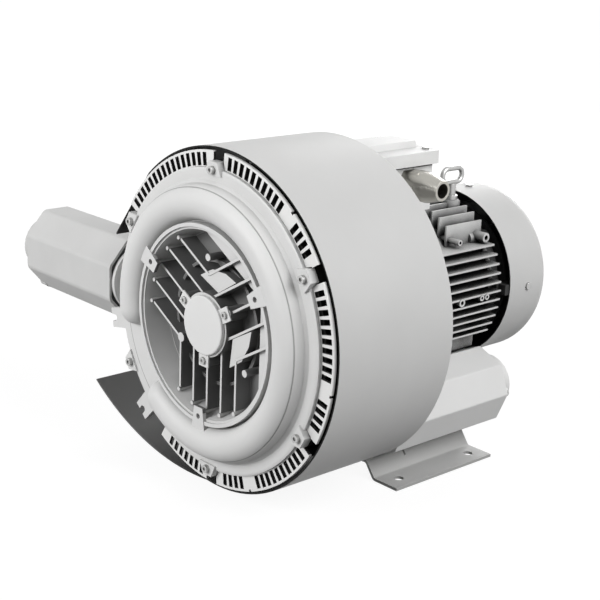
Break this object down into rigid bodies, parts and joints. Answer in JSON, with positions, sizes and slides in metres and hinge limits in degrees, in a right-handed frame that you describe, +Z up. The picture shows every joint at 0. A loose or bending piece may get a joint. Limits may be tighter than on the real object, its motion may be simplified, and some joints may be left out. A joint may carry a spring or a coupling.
{
  "type": "two-stage air blower",
  "caption": "Side-channel air blower with two impeller stages in a round sheet-clad drum, flanged motor, octagonal port silencers and sheet feet.",
  "frame": {"origin": "on the floor plane, at the centre of the four base bolt holes", "axes": "+Z up, shaft along Y with the front cover facing -Y and the fan cover facing +Y, left port silencer pointing to -X"},
  "size_m": [0.7009, 0.536, 0.443],
  "materials": {
    "steel": "zinc-plated and ground steel",
    "cast_aluminium": "silver-painted casting, satin",
    "painted_sheet": "silver paint on sheet steel, satin",
    "impeller_aluminium": "machined casting",
    "grille_casting": "light silver paint",
    "nickel_brass": "nickel plated",
    "black_rubber": "matt",
    "black_plastic": "moulded, matt",
    "dark_foam": "open-cell acoustic lining",
    "copper": "varnished copper wire",
    "lamination_steel": "bare laminations"
  },
  "bodies": {
    "housing": {"casing_screws": "steel", "cover_screws": "steel", "drive_bearing_outer": "steel", "drum_cowl": "painted_sheet", "fan_cover": "painted_sheet", "fan_cover_screws": "steel", "foot_bolts": "steel", "foot_left": "painted_sheet", "foot_right": "painted_sheet", "front_bearing_outer": "steel", "front_cover": "cast_aluminium", "gland_body": "nickel_brass", "gland_nut": "nickel_brass", "hub_cap": "cast_aluminium", "hub_cap_screws": "steel", "lid_gasket": "black_rubber", "lid_screws": "steel", "lifting_eye": "steel", "middle_casing": "cast_aluminium", "motor_frame": "cast_aluminium", "motor_screws": "steel", "outlet_grille": "grille_casting", "rear_casing": "cast_aluminium", "shaft_seal": "black_rubber", "shield_screws": "steel", "silencer_left": "cast_aluminium", "silencer_left_bolts": "steel", "silencer_left_foam": "dark_foam", "silencer_left_tube": "steel", "silencer_right": "cast_aluminium", "silencer_right_bolts": "steel", "silencer_right_foam": "dark_foam", "silencer_right_tube": "steel", "stage_seal": "black_rubber", "stator_core": "lamination_steel", "tail_bearing_outer": "steel", "tail_shield": "cast_aluminium", "terminal_block": "black_plastic", "terminal_box": "cast_aluminium", "terminal_lid": "cast_aluminium", "windings": "copper"},
    "rotor": {"shaft": "steel", "impeller_front": "impeller_aluminium", "impeller_rear": "impeller_aluminium", "impeller_keys": "steel", "impeller_nut": "steel", "stage_spacer": "steel", "drive_spacer": "steel", "rotor_core": "lamination_steel", "cooling_fan": "black_plastic", "front_bearing_inner": "steel", "drive_bearing_inner": "steel", "tail_bearing_inner": "steel"}
  },
  "joints": [
    {"name": "rotor_spin", "type": "hinge", "parent": "housing", "child": "rotor", "pos_m": [0, 0, 0.228], "axis": [0, 1, 0], "continuous": true}
  ]
}
